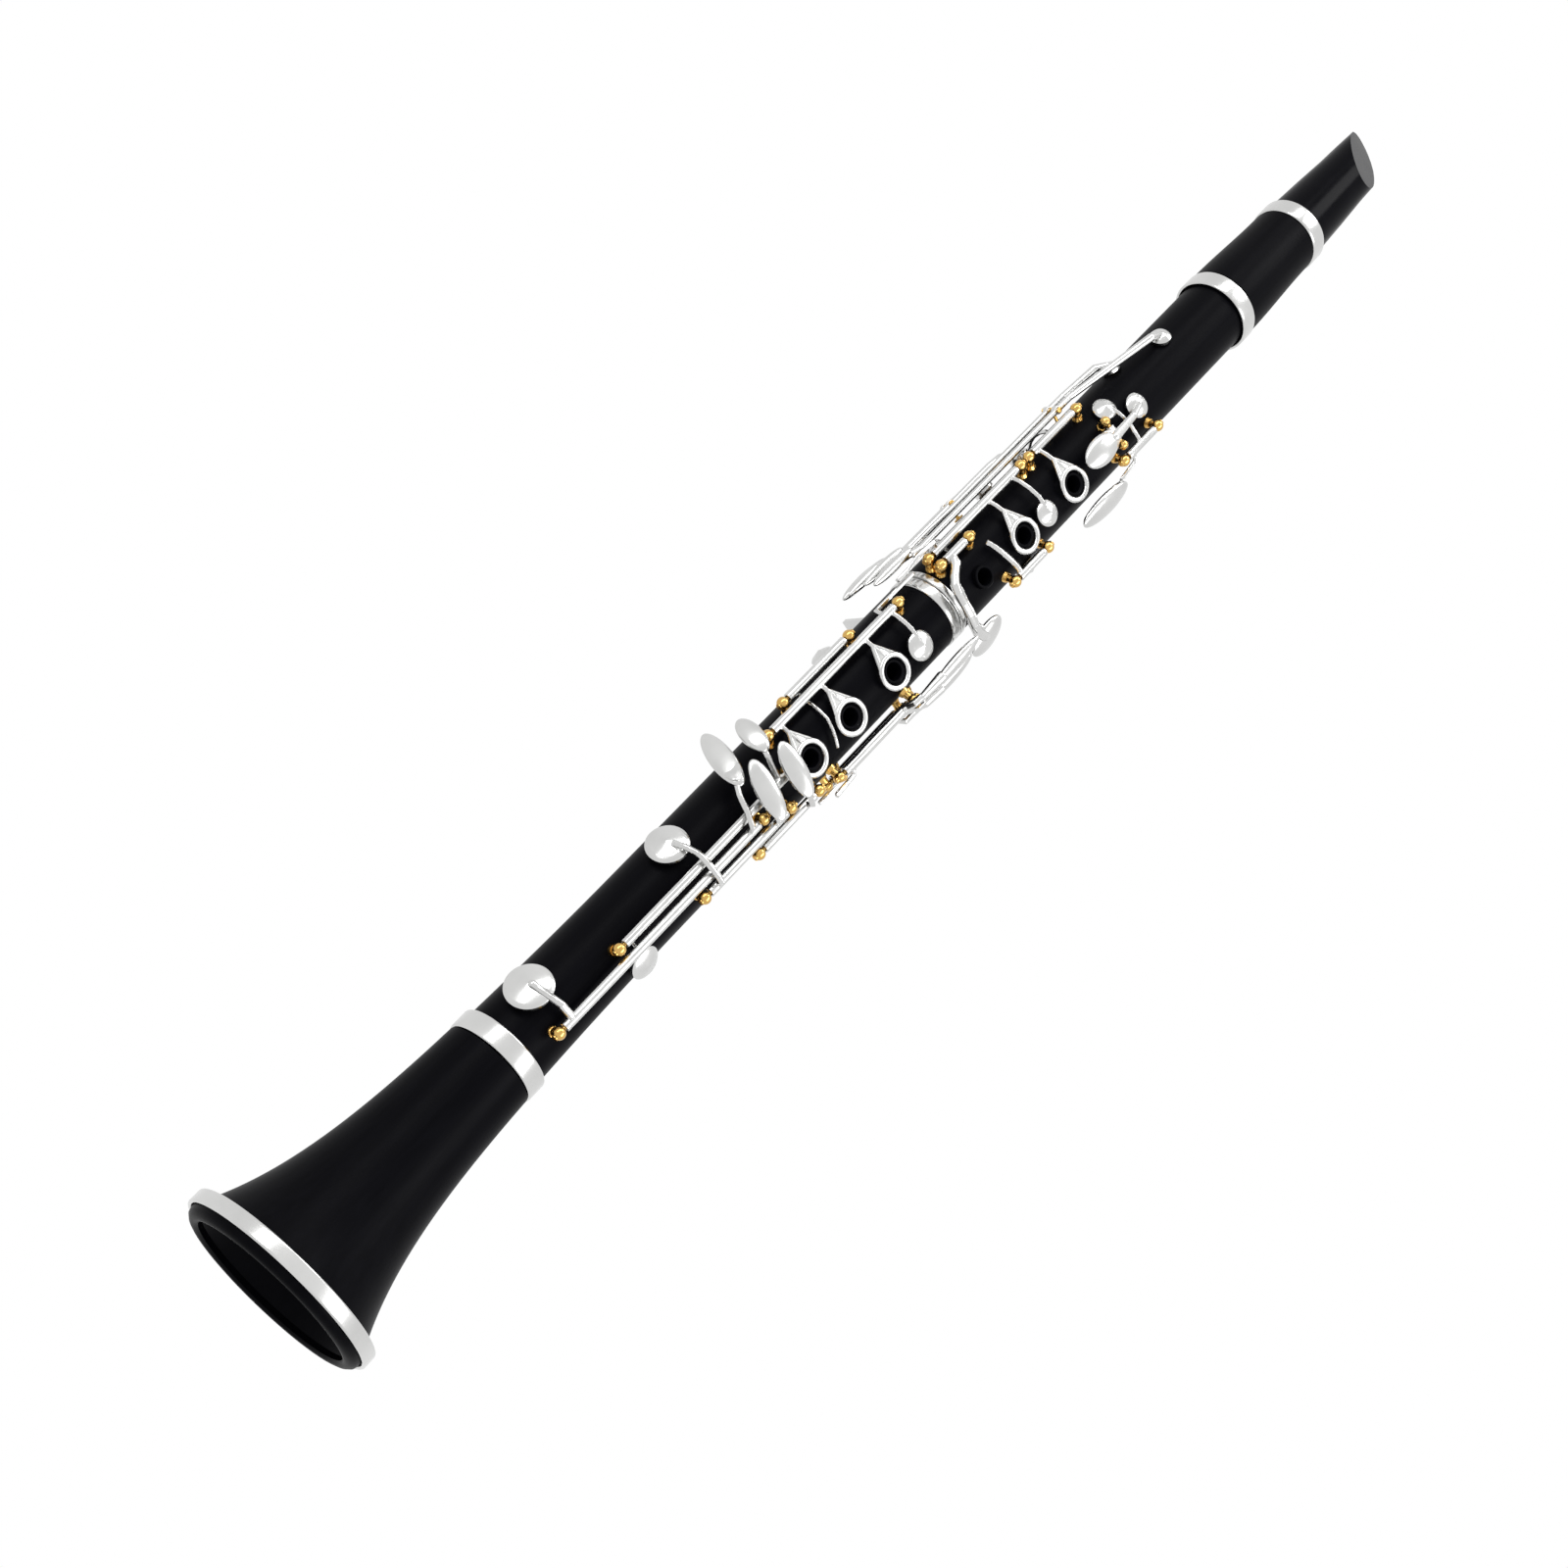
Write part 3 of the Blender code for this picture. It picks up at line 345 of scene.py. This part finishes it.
# Thumb rest: silver bracket on the back of the lower joint.
# The CAD bracket, evenly meshed and softened.
def copied(node, name, voxel, passes):
    source = frame["nodes"][node]
    piece = bpy.data.objects.new(name, source.data.copy())
    bpy.context.scene.collection.objects.link(piece)
    bpy.ops.object.select_all(action="DESELECT")
    piece.select_set(True)
    bpy.context.view_layer.objects.active = piece
    bpy.ops.object.mode_set(mode="EDIT")
    bpy.ops.mesh.select_all(action="SELECT")
    bpy.ops.mesh.remove_doubles(threshold=1e-6)
    bpy.ops.mesh.normals_make_consistent(inside=False)
    bpy.ops.object.mode_set(mode="OBJECT")
    grid = piece.modifiers.new("even", "REMESH")
    grid.mode = "VOXEL"
    grid.voxel_size = voxel * MM
    bpy.ops.object.modifier_apply(modifier=grid.name)
    if passes:
        calm = piece.modifiers.new("calm", "SMOOTH")
        calm.factor = 0.5
        calm.iterations = passes
        bpy.ops.object.modifier_apply(modifier=calm.name)
    bpy.ops.object.shade_smooth()
    return piece


give(copied("thumb_rest", "thumb_rest_bracket", 0.35, 4), SILVER, "body", "key_silver", "thumb_rest")


# Posts and hinge rods: gold balls on stems, each set with the rod it carries.
# The CAD sets, evenly meshed and rounded, in polished gold plate.
def gold():
    material, shader, place = surface("gold_plate")
    tone_noise = place.noise(140, (1, 1, 1), 5)
    rubs = place.noise(2100, (1, 1, 1), 3)
    bump = rubs.bump(0.03, 0.0002)
    feed(shader, Base_Color=tone_noise.between((0.52, 0.31, 0.08), (0.72, 0.47, 0.16)), Metallic=1.0)
    feed(shader, Roughness=0.14 + tone_noise * 0.12, Normal=bump)
    return material


GOLD = gold()
for node in sorted(frame["nodes"]):
    if node.endswith(("_posts", "_saddle")):
        give(copied(node, node + "_set", 0.3, 4), GOLD, "body", "post_gold", node)


# Keys: hinge tubes with their arms, touches, rings and pad cups, one piece for each key.
# The CAD keys, evenly meshed and rounded, in bright silver plate.
for node in sorted(frame["nodes"]):
    if node in frame["bodies"] and node != "body" and node != "barrel_group":
        give(copied(node, node + "_piece", 0.3, 5), SILVER, node, "key_silver", node)


# Finger rings: smooth round silver rings with a flat tapering web, so each is a teardrop on its arm.
# A torus for the eye, two thin struts that meet it on the slant and a flattened cone between them,
# joined and riding with their ring keys.
def polar(along, angle, radius):
    turn = math.radians(angle)
    return Vector((along, -radius * math.sin(turn), radius * math.cos(turn))) * MM


def strut(start, end, thick, thin):
    way = end - start
    bpy.ops.mesh.primitive_cone_add(vertices=20, radius1=thick * MM, radius2=thin * MM, depth=way.length)
    made = bpy.context.object
    turn = way.to_track_quat("Z", "Y").to_matrix().to_4x4()
    made.data.transform(Matrix.Translation((start + end) / 2) @ turn)
    return made


def joined(name, pieces):
    bpy.ops.object.select_all(action="DESELECT")
    for piece in pieces:
        piece.select_set(True)
    bpy.context.view_layer.objects.active = pieces[0]
    bpy.ops.object.join()
    pieces[0].name = name
    bpy.ops.object.shade_smooth_by_angle(angle=math.radians(50))
    return pieces[0]


EYES = (
    ("lower_ring_key", 260.0, 1),
    ("lower_ring_key", 283.0, 1),
    ("lower_ring_key", 309.0, 1),
    ("bridge_ring_key", 391.0, 1),
    ("thumb_ring_key", 424.0, 1),
    ("thumb_ring_key", 430.0, -1),
)
for key, along, side in EYES:
    bpy.ops.object.select_all(action="DESELECT")
    bpy.ops.mesh.primitive_torus_add(
        major_radius=6.2 * MM, minor_radius=1.12 * MM, major_segments=72, minor_segments=18
    )
    eye = bpy.context.object
    eye.data.transform(Matrix.Translation((along * MM, 0, side * 17.3 * MM)))
    root = Vector((along, 12.2, side * 14.2)) * MM
    web = strut(root, Vector((along, 5.4, side * 17.5)) * MM, 0.8, 3.7)
    flat = Matrix.Scale(0.28, 4, Vector((0, 0.44, side * 0.9)).normalized())
    web.data.transform(Matrix.Translation(root) @ flat @ Matrix.Translation(-root))
    edges = [strut(root, Vector((along + slant, 3.9, side * 17.4)) * MM, 0.9, 1.05) for slant in (-4.8, 4.8)]
    ring = joined("%s_eye_%d" % (key, along), [eye, web] + edges)
    settle(ring)
    give(ring, SILVER, key, "key_silver")


# Hinge tubes and post heads: a smooth silver tube on each rod between two gold ball posts.
# Turned tubes with a groove near each end, round balls on collars, and a slotted screw in each ball.
HINGES = (
    ("bridge_ring_key", 354.0, 413.0, -64, 19.8),
    ("thumb_ring_key", 418.5, 450.5, -64, 19.8),
    ("throat_g_sharp_key", 450.5, 474.0, 25, 19.8),
    ("upper_sliver_key", 376.5, 398.0, 33, 19.8),
    ("c_sharp_key", 354.0, 371.5, -47, 19.8),
    ("lower_ring_key", 253.5, 330.0, -53, 19.8),
    ("lower_sliver_key", 268.5, 307.0, -68, 20.2),
    ("e_b_key", 121.5, 229.0, 5, 19.8),
    ("f_c_key", 193.5, 241.0, 20, 19.8),
    ("a_flat_key", 156.5, 249.5, -10, 19.8),
    ("f_sharp_key", 221.5, 255.5, 35, 19.8),
    ("left_f_sharp_lever", 268.0, 312.0, 52, 19.8),
    ("left_e_lever", 272.0, 316.0, 70, 19.8),
    ("left_f_lever", 268.0, 312.0, 88, 19.8),
)


def slotted_screw():
    bpy.ops.object.select_all(action="DESELECT")
    bpy.ops.mesh.primitive_cube_add(size=1)
    slot = bpy.context.object
    size = Matrix.Diagonal((4 * MM, 0.4 * MM, 0.6 * MM, 1))
    slot.data.transform(Matrix.Translation((0, 0, 0.5 * MM)) @ size)
    bpy.ops.object.select_all(action="DESELECT")
    bpy.ops.mesh.primitive_cylinder_add(vertices=32, radius=1.25 * MM, depth=1.0 * MM)
    screw = bpy.context.object
    cut = screw.modifiers.new("slot", "BOOLEAN")
    cut.object = slot
    cut.solver = "EXACT"
    bpy.ops.object.modifier_apply(modifier=cut.name)
    bpy.data.objects.remove(slot, do_unlink=True)
    return screw


master = slotted_screw()
for key, low, high, angle, radius in HINGES:
    line = Matrix.Translation(polar(0, angle, radius))
    a = low + 2.75
    b = high - 2.75
    out = 1.6 if key == "a_flat_key" else 1.81
    neck = out - 0.09
    groove = ((0.0, 1.25), (0.0, neck), (0.15, out), (1.5, out), (1.6, neck), (1.9, neck), (2.0, out))
    tube = [(a + step, radial) for step, radial in groove]
    tube += [(b - step, radial) for step, radial in reversed(groove)]
    give(turned(key + "_tube", tube, 40, line), SILVER, key, "key_silver")
    heads = []
    size = 2.1 if key.startswith("left") else 2.36
    for end, way in ((low, -1), (high, 1)):
        bpy.ops.object.select_all(action="DESELECT")
        bpy.ops.mesh.primitive_uv_sphere_add(segments=40, ring_count=24, radius=size * MM)
        ball = bpy.context.object
        ball.data.transform(Matrix.Translation(polar(end, angle, radius)))
        stem = strut(polar(end, angle, 15.0), polar(end, angle, radius), 1.6, 1.5)
        collar = strut(polar(end, angle, 15.0), polar(end, angle, 16.3), 2.3, 1.9)
        screw = master.copy()
        screw.data = master.data.copy()
        bpy.context.scene.collection.objects.link(screw)
        face = Matrix.Rotation(way * math.pi / 2, 4, "Y") @ Matrix.Rotation(end, 4, "Z")
        screw.data.transform(Matrix.Translation(polar(end + way * 1.95, angle, radius)) @ face)
        heads += [ball, stem, collar, screw]
    post = joined(key + "_post_heads", heads)
    settle(post)
    give(post, GOLD, "body", "post_gold")
bpy.data.objects.remove(master, do_unlink=True)


# Long levers: silver bars of the S-shaped lever over the front, two left-hand levers, the trill and
# side levers, the throat lever and the lowest key's arm.
# Tapering round bars with a ball at each bend, laid over the thin arms of the keys.
BARS = (
    ("left_f_sharp_lever", ((306, 50, 20.4), (313, 39, 23.6), (324, 39, 23.6)), (1.7, 1.5, 2.2)),
    ("left_e_lever", ((310, 68, 20.2), (316, 59, 23.4), (324, 57, 23.8)), (1.9, 2.1, 2.4)),
    ("trill_key_high", ((352, -78, 22.9), (357, -78, 22.0), (454, -78, 22.0), (499, -56, 21.2),
        (505, -56, 18.6)), (1.6, 1.3, 1.3, 1.7, 1.4)),
    ("trill_key_low", ((352, -90, 23.2), (357, -90, 22.5), (368, -90, 22.5), (380, -90, 22.0),
        (455, -90, 22.0), (475, -86, 21.2), (481, -86, 18.6)), (1.4, 0.9, 0.9, 1.3, 1.3, 1.6, 1.3)),
    ("side_key_high", ((347, -102, 22.9), (352, -102, 22.0), (410, -102, 22.0), (417, -103, 21.2),
        (423, -103, 18.6)), (1.6, 1.3, 1.3, 1.5, 1.3)),
    ("side_key_low", ((347, -114, 22.9), (352, -114, 22.0), (388, -114, 22.0), (397, -117, 21.2),
        (403, -117, 18.6)), (1.6, 1.3, 1.3, 1.5, 1.3)),
    ("c_sharp_key", ((359.5, -47, 19.9), (358.8, -41, 20.3), (356.6, -34, 20.5), (353.4, -28, 20.5),
        (350.6, -21, 20.5), (349.0, -12, 20.5), (348.4, 0, 20.5), (348.3, 14, 20.6), (348.6, 28, 20.9),
        (349.6, 40, 21.6), (352.0, 50, 22.4), (354.5, 57, 22.8)),
        (1.5, 1.6, 1.7, 1.75, 1.8, 1.8, 1.8, 1.85, 1.95, 2.1, 2.3, 2.4)),
    ("throat_a_key", ((450, -8, 21.4), (463, -10, 21.8), (470, -12, 19.6)), (2.0, 1.5, 1.3)),
    ("e_b_key", ((128.2, 0, 20.6), (128, -14, 21.3), (126.5, -46, 21.3)), (1.5, 1.5, 1.5)),
)
for key, path, radii in BARS:
    bends = [polar(*point) for point in path]
    bars = []
    for start, end, thick, thin in zip(bends, bends[1:], radii, radii[1:]):
        bpy.ops.object.select_all(action="DESELECT")
        bars.append(strut(start, end, thick, thin))
    for bend, thick in zip(bends, radii):
        bpy.ops.object.select_all(action="DESELECT")
        bpy.ops.mesh.primitive_uv_sphere_add(segments=20, ring_count=12, radius=thick * MM)
        ball = bpy.context.object
        ball.data.transform(Matrix.Translation(bend))
        bars.append(ball)
    bar = joined(key + "_bar", bars)
    settle(bar)
    give(bar, SILVER, key, "key_silver")


# Finger plates: bulging oval touches for the fingers, over the thin plates of the keys.
# Round balls flattened to ovals, each turned to face its finger.
PLATES = (
    ("e_b_key", 233.5, -62, 24.6, 26.5, 9.4, 4.6, 70, -50),
    ("f_c_key", 234.5, -16, 25.3, 24.0, 9.0, 3.8, 74, -16),
    ("a_flat_key", 248.0, -58, 24.4, 17.0, 8.6, 4.6, 76, -48),
    ("f_sharp_key", 248.0, -11, 25.5, 22.5, 8.8, 3.8, 78, -11),
    ("throat_a_key", 441.2, -8, 20.9, 19.4, 11.0, 4.6, 0, -8),
    ("throat_g_sharp_key", 434.0, 49, 22.6, 30.0, 10.4, 4.4, -4, 30),
    ("c_sharp_key", 355.0, 58, 23.2, 19.0, 11.5, 4.6, 14, 30),
    ("register_key", 447.0, 180, 20.6, 16.0, 8.6, 4.4, 0, 180),
    ("side_key_low", 336.0, -114, 25.2, 23.0, 4.6, 4.2, 0, -114),
    ("side_key_high", 336.0, -102, 25.2, 23.0, 4.0, 4.0, 0, -102),
    ("trill_key_low", 341.0, -90, 25.2, 23.0, 4.0, 4.0, 0, -90),
    ("trill_key_high", 341.0, -78, 25.2, 23.0, 4.6, 4.2, 0, -78),
    ("left_f_sharp_lever", 333.0, 39, 23.8, 29.0, 6.0, 4.0, 3, 30),
    ("left_e_lever", 330.6, 58, 24.0, 27.0, 6.2, 4.0, 3, 44),
    ("left_f_lever", 335.0, 75, 23.8, 25.0, 7.4, 4.4, 0, 60),
)
for key, along, angle, radius, length, width, thick, heading, facing in PLATES:
    bpy.ops.object.select_all(action="DESELECT")
    bpy.ops.mesh.primitive_uv_sphere_add(segments=48, ring_count=24, radius=0.5)
    plate = bpy.context.object
    plate.name = key + "_plate"
    size = Matrix.Diagonal((length * MM, width * MM, thick * MM, 1))
    turn = Matrix.Rotation(math.radians(facing), 4, "X") @ Matrix.Rotation(math.radians(heading), 4, "Z")
    plate.data.transform(Matrix.Translation(polar(along, angle, radius)) @ turn @ size)
    bpy.ops.object.shade_smooth()
    settle(plate)
    give(plate, SILVER, key, "key_silver")


# Pads and cups: cream leather discs under smooth domed cups, riding with their keys.
# Flat turned discs with a soft rim, and turned domes over the cups of the keys.
def leather():
    material, shader, place = surface("pad_leather")
    skin = place.noise(1600, (1, 1, 1), 6)
    bump = skin.bump(0.2, 0.0003)
    feed(shader, Base_Color=skin.between((0.62, 0.5, 0.36), (0.82, 0.72, 0.56)), Normal=bump)
    feed(shader, Roughness=0.6 + skin * 0.2)
    return material


LEATHER = leather()
PADS = (
    ("bridge_ring_key", 405, 0, 5.0, 1.4),
    ("throat_a_key", 471.5, -12, 5.0, 0),
    ("throat_g_sharp_key", 459.5, -40, 4.8, 0),
    ("upper_sliver_key", 391, 60, 4.6, 0),
    ("c_sharp_key", 364, -88, 4.4, 0),
    ("register_key", 506, 180, 4.6, 0),
    ("lower_ring_key", 324, 0, 5.6, 1.4),
    ("lower_sliver_key", 299, -98, 4.8, 0),
    ("e_b_key", 126, -50, 8.6, 2.05),
    ("f_c_key", 197.5, -52, 7.8, 1.1),
    ("a_flat_key", 163, 32, 6.2, 0.35),
    ("f_sharp_key", 229, 58, 5.4, 0),
    ("side_key_low", 404, -117, 4.3, 0),
    ("side_key_high", 424, -103, 4.3, 0),
    ("trill_key_low", 482, -86, 4.3, 0),
    ("trill_key_high", 506, -56, 4.3, 0),
)
for key, along, angle, radius, lift in PADS:
    face = 15.08 + lift
    wide = radius - 0.8
    rim = [(face, 0.2), (face, wide - 0.3), (face + 0.25, wide), (face + 1.0, wide), (face + 1.0, 0.2)]
    turn = Matrix.Rotation(math.radians(angle), 4, "X") @ Matrix.Translation((along * MM, 0, 0))
    turn = turn @ Matrix.Rotation(-math.pi / 2, 4, "Y")
    give(turned(key + "_pad", rim, 48, turn), LEATHER, key, "key_silver")
    crown = face + 0.45 + 0.12 * radius * radius / 30
    wide = radius + 0.15
    dome = [(crown, wide - 0.1), (crown + 1.2, wide), (crown + 1.5, wide - 0.25), (crown + 2.2, wide * 0.8)]
    dome += [(crown + 2.9, wide * 0.45), (crown + 3.25, wide * 0.2), (crown + 3.5, 0.5)]
    dome += [(crown + 3.55, 0.1), (crown, 0.1)]
    give(turned(key + "_dome", dome, 64, turn), SILVER, key, "key_silver")


# Floor: plain pale sheet under the clarinet, white to the camera.
# One large plane with a soft unevenness in its white.
bpy.ops.object.select_all(action="DESELECT")
bpy.ops.mesh.primitive_plane_add(size=90)
floor = bpy.context.object
floor.name = "floor"
pale, shader, place = surface("floor_white")
feed(shader, Base_Color=place.noise(3).between((0.9, 0.9, 0.9), (0.94, 0.94, 0.94)), Roughness=0.7)


def seen_rays(tree):
    ray = tree.nodes.new("ShaderNodeLightPath")
    names = ("Is Camera Ray", "Is Glossy Ray", "Is Transmission Ray")
    camera_ray, glossy_ray, clear_ray = [Value(tree, ray.outputs[name]) for name in names]
    return camera_ray + glossy_ray + clear_ray


direct = seen_rays(pale.node_tree)
white = place.node("ShaderNodeEmission", {"Color": (1, 1, 1, 1), "Strength": 1.0})
mixed = place.node("ShaderNodeMixShader", {0: direct, 1: Value(pale.node_tree, shader.outputs[0]), 2: white})
pale.node_tree.links.new(mixed.socket, pale.node_tree.nodes["Material Output"].inputs[0])
floor.data.materials.append(pale)


# Light: a wide soft box over the instrument, a side strip for the metal, a box at its end and a sky.
# The lamps stand clear of the camera's view, and the sky is white where it is seen or mirrored.
def softbox(name, location, aim, width, height, power):
    lamp = bpy.data.lights.new(name, "AREA")
    lamp.shape = "RECTANGLE"
    lamp.size = width
    lamp.size_y = height
    lamp.energy = power
    thing = bpy.data.objects.new(name, lamp)
    thing.location = location
    thing.rotation_euler = (Vector(aim) - Vector(location)).to_track_quat("-Z", "Y").to_euler()
    bpy.context.scene.collection.objects.link(thing)


softbox("over_box", (0.1, -0.7, 1.2), (0, 0, 0), 1.6, 0.5, 14)
softbox("side_strip", (0.3, 0.9, 0.6), (0, 0, 0), 1.8, 0.25, 8)
softbox("end_box", (1.2, 0.1, 0.7), (0, 0, 0), 0.5, 0.5, 6)
sky = bpy.data.worlds.new("sky")
sky.use_nodes = True
dim = sky.node_tree.nodes["Background"]
dim.inputs[0].default_value = (0.86, 0.87, 0.89, 1)
dim.inputs[1].default_value = 0.8
clear = seen_rays(sky.node_tree)
white = clear.node("ShaderNodeBackground", {"Color": (1, 1, 1, 1), "Strength": 1.0})
both = clear.node("ShaderNodeMixShader", {0: clear, 1: Value(sky.node_tree, dim.outputs[0]), 2: white})
sky.node_tree.links.new(both.socket, sky.node_tree.nodes["World Output"].inputs[0])
bpy.context.scene.world = sky


# Camera: the photo's angle and lens, from the outline of the instrument.
# Fixed place and turn in the row frame.
lens = bpy.data.cameras.new("photo_camera")
lens.lens = 54.0
lens.sensor_width = 36.0
lens.clip_start = 0.01
camera = bpy.data.objects.new("photo_camera", lens)
camera.location = (-0.43987, 0.3109, 0.73847)
camera.rotation_euler = (math.radians(-1.126), math.radians(-33.944), math.radians(-39.956))
bpy.context.scene.collection.objects.link(camera)
bpy.context.scene.camera = camera
bpy.context.scene.view_settings.view_transform = "Standard"
